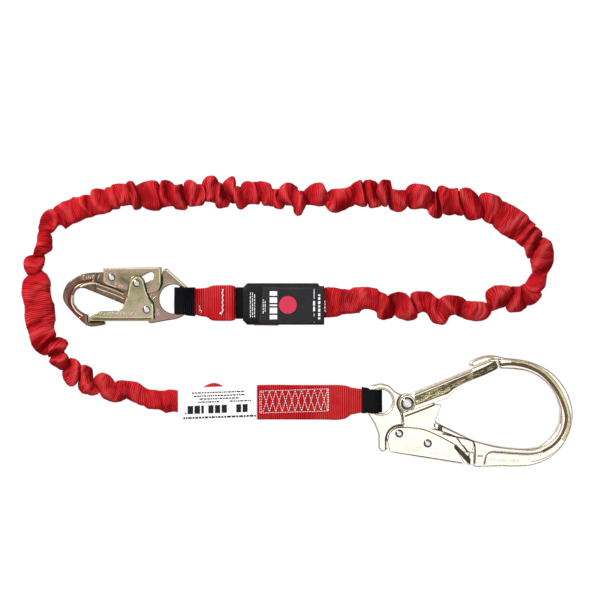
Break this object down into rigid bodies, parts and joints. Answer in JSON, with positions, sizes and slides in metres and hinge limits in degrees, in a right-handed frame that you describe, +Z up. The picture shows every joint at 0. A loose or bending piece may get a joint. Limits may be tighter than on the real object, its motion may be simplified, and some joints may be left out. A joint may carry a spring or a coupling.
{
  "type": "shock absorbing lanyard",
  "caption": "Fall-arrest lanyard: gathered tubular webbing over a shock-absorbing core, with a double-locking snap hook at one end and a large scaffold hook at the other.",
  "frame": {"origin": "on the surface that the lanyard lies on, below the middle of the box round the two hooks and their sewn ends", "axes": "+X from the snap hook's nose towards the large hook's bow, +Z up, hooks lying flat"},
  "size_m": [0.5758, 0.3015, 0.0208],
  "materials": {
    "yellow_zinc": "yellow zinc plated, satin, slightly iridescent",
    "pale_zinc": "pale yellow zinc plated, satin",
    "bright_rivet": "bright domed steel",
    "pale_rivet": "plated, flush",
    "spring_steel": "oiled spring wire",
    "red_webbing": "flat woven polyester webbing",
    "red_jacket": "gathered tubular polyester webbing with fine cross ribs",
    "black_webbing": "coarse twill wear webbing",
    "black_cover": "coated label cover cloth",
    "white_label": "smooth coated label tape",
    "core_yarn": "woven core strap"
  },
  "bodies": {
    "lanyard": {"outer_jacket": "red_jacket", "shock_core": "core_yarn", "snap_end_loop": "red_webbing", "snap_wear_pad": "black_webbing", "snap_end_overlap": "red_webbing", "pack_sleeve": "black_webbing", "sewn_core_end": "red_webbing", "label_cover": "black_cover", "rebar_end_loop": "red_webbing", "rebar_wear_pad": "black_webbing", "rebar_end_strap": "red_webbing", "capacity_label": "white_label"},
    "snap_hook": {"snap_hook_body": "yellow_zinc", "snap_gate_pivot_rivet": "bright_rivet", "snap_lock_pivot_rivet": "bright_rivet", "snap_gate_spring": "spring_steel", "snap_lock_spring": "spring_steel"},
    "snap_gate": {"snap_gate": "yellow_zinc", "snap_lock_pin": "bright_rivet"},
    "snap_lever": {"snap_lock_lever": "yellow_zinc"},
    "rebar_hook": {"rebar_hook_body": "pale_zinc", "rebar_gate_pivot_rivet": "bright_rivet", "rebar_lock_pivot_rivet": "pale_rivet", "rebar_gate_spring": "spring_steel", "rebar_lock_spring": "spring_steel"},
    "rebar_gate": {"rebar_gate": "pale_zinc"},
    "rebar_lever": {"rebar_lock_lever": "pale_zinc", "rebar_lock_pin": "pale_rivet"}
  },
  "joints": [
    {"name": "snap_hook_swing", "type": "hinge", "parent": "lanyard", "child": "snap_hook", "pos_m": [-0.1399, 0.0712, 0.0104], "axis": [0, 1, 0], "range_deg": [-90, 90]},
    {"name": "snap_gate_hinge", "type": "hinge", "parent": "snap_hook", "child": "snap_gate", "pos_m": [-0.179, 0.0599, 0.0104], "axis": [0, 0, -1], "range_deg": [0, 28], "stiffness_Nm_per_rad": 0.05, "springref_deg": -34.38},
    {"name": "snap_lever_hinge", "type": "hinge", "parent": "snap_hook", "child": "snap_lever", "pos_m": [-0.2157, 0.0936, 0.0104], "axis": [0, 0, -1], "range_deg": [0, 9.1], "stiffness_Nm_per_rad": 0.03, "springref_deg": -22.92},
    {"name": "rebar_hook_swing", "type": "hinge", "parent": "lanyard", "child": "rebar_hook", "pos_m": [0.0583, -0.0361, 0.0096], "axis": [0, -1, 0], "range_deg": [-90, 90]},
    {"name": "rebar_gate_hinge", "type": "hinge", "parent": "rebar_hook", "child": "rebar_gate", "pos_m": [0.0938, -0.038, 0.0096], "axis": [0, 0, -1], "range_deg": [0, 34], "stiffness_Nm_per_rad": 0.1, "springref_deg": -34.38},
    {"name": "rebar_lever_hinge", "type": "hinge", "parent": "rebar_hook", "child": "rebar_lever", "pos_m": [0.0854, -0.0696, 0.0096], "axis": [0, 0, 1], "range_deg": [0, 6.1], "stiffness_Nm_per_rad": 0.05, "springref_deg": -22.92}
  ],
  "couplings": [
    {"joint": "snap_lever_hinge", "follows": "snap_gate_hinge", "ratio": 0.32143},
    {"joint": "rebar_lever_hinge", "follows": "rebar_gate_hinge", "ratio": 0.17647}
  ]
}
